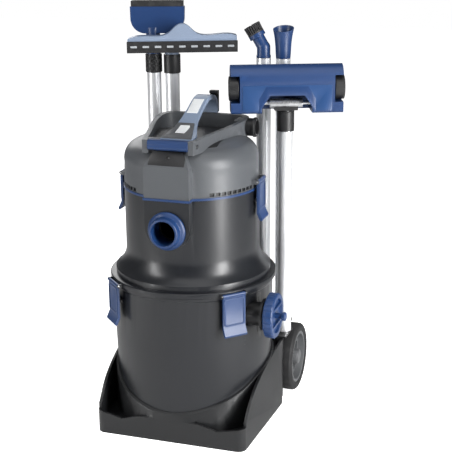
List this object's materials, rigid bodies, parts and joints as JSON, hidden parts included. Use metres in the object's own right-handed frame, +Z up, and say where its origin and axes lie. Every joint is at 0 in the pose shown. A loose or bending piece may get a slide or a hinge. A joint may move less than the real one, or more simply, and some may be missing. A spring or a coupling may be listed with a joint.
{
  "type": "shop vacuum",
  "caption": "Wet and dry drum vacuum on a two-wheeled trolley, with latched motor head, front inlet, side drain, and suction tubes and nozzles parked behind.",
  "frame": {"origin": "on the floor, on the drum's vertical axis, at the flat underside of the trolley", "axes": "+Z up along the drum axis, -Y to the front where the inlet is, +X to the drain side"},
  "size_m": [0.6016, 0.519, 1.066],
  "materials": {
    "dark_plastic": "fine grained anthracite plastic",
    "base_plastic": "coarse grained anthracite plastic",
    "head_plastic": "fine grained mid grey plastic",
    "blue_plastic": "satin blue plastic",
    "pale_blue_plastic": "satin grey-blue plastic",
    "black_plastic": "grained black plastic",
    "white_plastic": "smooth white plastic",
    "rim_plastic": "grained grey plastic",
    "tyre_rubber": "matt tyre rubber",
    "black_rubber": "matt rubber",
    "tube_metal": "bright anodised drawn tube",
    "steel": "bright steel",
    "filter_foam": "open-cell filter foam",
    "bristle": "stiff black bristles"
  },
  "bodies": {
    "trolley": {"base_trolley": "base_plastic", "front_feet": "black_rubber", "tool_deck": "base_plastic", "deck_screws": "steel", "wheel_axle": "steel", "lower_drum": "dark_plastic", "rim_seal": "black_rubber", "drain_spigot": "black_plastic"},
    "left_wheel": {"left_wheel_rim": "rim_plastic", "left_tyre": "tyre_rubber"},
    "right_wheel": {"right_wheel_rim": "rim_plastic", "right_tyre": "tyre_rubber"},
    "left_lower_latch": {"left_lower_latch": "blue_plastic"},
    "right_lower_latch": {"right_lower_latch": "blue_plastic"},
    "drain_cap": {"drain_cap": "blue_plastic", "drain_knob": "blue_plastic"},
    "upper_drum": {"upper_drum": "dark_plastic", "inlet_coupling": "blue_plastic", "inlet_seal": "black_rubber", "seam_ring": "blue_plastic", "lower_latch_pins": "steel"},
    "left_upper_latch": {"left_upper_latch": "blue_plastic"},
    "right_upper_latch": {"right_upper_latch": "blue_plastic"},
    "motor_head": {"motor_head": "head_plastic", "vent_grilles": "black_plastic", "head_base": "black_plastic", "motor_housing": "black_plastic", "filter_cage": "black_plastic", "filter_sleeve": "filter_foam", "carrier_frame": "head_plastic", "blower_port": "black_plastic", "front_grip": "blue_plastic", "strap_handle": "pale_blue_plastic", "cable_hook": "black_plastic", "head_screws": "steel", "upper_latch_pins": "steel"},
    "power_switch": {"power_switch": "white_plastic"},
    "fan_rotor": {"motor_shaft": "steel", "fan_impeller": "tube_metal"},
    "float_cup": {"float_cup": "white_plastic"},
    "flat_nozzle_stack": {"flat_tube": "tube_metal", "flat_tube_collar": "black_plastic", "flat_nozzle": "blue_plastic", "flat_nozzle_lip": "black_rubber"},
    "squeegee_stack": {"squeegee_tube": "tube_metal", "squeegee_tube_collar": "black_plastic", "squeegee_nozzle": "pale_blue_plastic", "squeegee_strip": "black_rubber"},
    "brush_stack": {"brush_tube": "tube_metal", "brush_nozzle": "blue_plastic", "brush_bristles": "bristle"},
    "flared_stack": {"flared_tube": "tube_metal", "flared_nozzle": "blue_plastic"},
    "floor_stack": {"floor_tube": "tube_metal", "floor_tube_collar": "black_plastic", "floor_neck": "black_plastic", "floor_nozzle_bar": "steel"},
    "floor_nozzle": {"floor_nozzle": "blue_plastic"},
    "left_floor_roller": {"left_floor_roller": "black_plastic"},
    "right_floor_roller": {"right_floor_roller": "black_plastic"}
  },
  "joints": [
    {"name": "left_wheel_spin", "type": "hinge", "parent": "trolley", "child": "left_wheel", "pos_m": [-0.21, 0.21, 0.094], "axis": [1, 0, 0], "continuous": true},
    {"name": "right_wheel_spin", "type": "hinge", "parent": "trolley", "child": "right_wheel", "pos_m": [0.21, 0.21, 0.094], "axis": [1, 0, 0], "continuous": true},
    {"name": "right_lower_latch_swing", "type": "hinge", "parent": "upper_drum", "child": "right_lower_latch", "pos_m": [0.15933, -0.15387, 0.397], "axis": [0.6947, 0.7193, 0], "range_deg": [-75, 0]},
    {"name": "left_lower_latch_swing", "type": "hinge", "parent": "upper_drum", "child": "left_lower_latch", "pos_m": [-0.15933, -0.15387, 0.397], "axis": [0.6947, -0.7193, 0], "range_deg": [-75, 0]},
    {"name": "right_upper_latch_swing", "type": "hinge", "parent": "motor_head", "child": "right_upper_latch", "pos_m": [0.183, 0, 0.652], "axis": [0, 1, 0], "range_deg": [-75, 0]},
    {"name": "left_upper_latch_swing", "type": "hinge", "parent": "motor_head", "child": "left_upper_latch", "pos_m": [-0.183, 0, 0.652], "axis": [0, -1, 0], "range_deg": [-75, 0]},
    {"name": "drain_cap_turn", "type": "hinge", "parent": "trolley", "child": "drain_cap", "pos_m": [0.238, -0.087, 0.328], "axis": [1, 0, 0], "range_deg": [0, 540]},
    {"name": "upper_drum_lift", "type": "slide", "parent": "trolley", "child": "upper_drum", "axis": [0, 0, 1], "range_m": [0, 0.005]},
    {"name": "motor_head_lift", "type": "slide", "parent": "upper_drum", "child": "motor_head", "axis": [0, 0, 1], "range_m": [0, 0.005]},
    {"name": "power_switch_rock", "type": "hinge", "parent": "motor_head", "child": "power_switch", "pos_m": [0.008, -0.084, 0.7835], "axis": [1, 0, 0], "range_deg": [-6, 6], "stiffness_Nm_per_rad": 0.4},
    {"name": "fan_spin", "type": "hinge", "parent": "motor_head", "child": "fan_rotor", "pos_m": [0, 0, 0.68], "axis": [0, 0, 1], "continuous": true},
    {"name": "float_rise", "type": "slide", "parent": "motor_head", "child": "float_cup", "axis": [0, 0, 1], "range_m": [0, 0.028]},
    {"name": "flat_nozzle_stack_lift", "type": "slide", "parent": "trolley", "child": "flat_nozzle_stack", "axis": [0, 0, 1], "range_m": [0, 0.045]},
    {"name": "squeegee_stack_lift", "type": "slide", "parent": "trolley", "child": "squeegee_stack", "axis": [0, 0, 1], "range_m": [0, 0.008]},
    {"name": "brush_stack_lift", "type": "slide", "parent": "trolley", "child": "brush_stack", "axis": [0, 0, 1], "range_m": [0, 0.045]},
    {"name": "flared_stack_lift", "type": "slide", "parent": "trolley", "child": "flared_stack", "axis": [0, 0, 1], "range_m": [0, 0.045]},
    {"name": "floor_stack_lift", "type": "slide", "parent": "trolley", "child": "floor_stack", "axis": [0, 0, 1], "range_m": [0, 0.045]},
    {"name": "floor_nozzle_tilt", "type": "hinge", "parent": "floor_stack", "child": "floor_nozzle", "pos_m": [0.20858, 0.14066, 0.822], "axis": [0.9336, 0.3584, 0], "range_deg": [0, 24]},
    {"name": "left_roller_spin", "type": "hinge", "parent": "floor_nozzle", "child": "left_floor_roller", "pos_m": [0.08434, 0.08762, 0.862], "axis": [0.9336, 0.3584, 0], "continuous": true},
    {"name": "right_roller_spin", "type": "hinge", "parent": "floor_nozzle", "child": "right_floor_roller", "pos_m": [0.33641, 0.18438, 0.862], "axis": [0.9336, 0.3584, 0], "continuous": true}
  ]
}
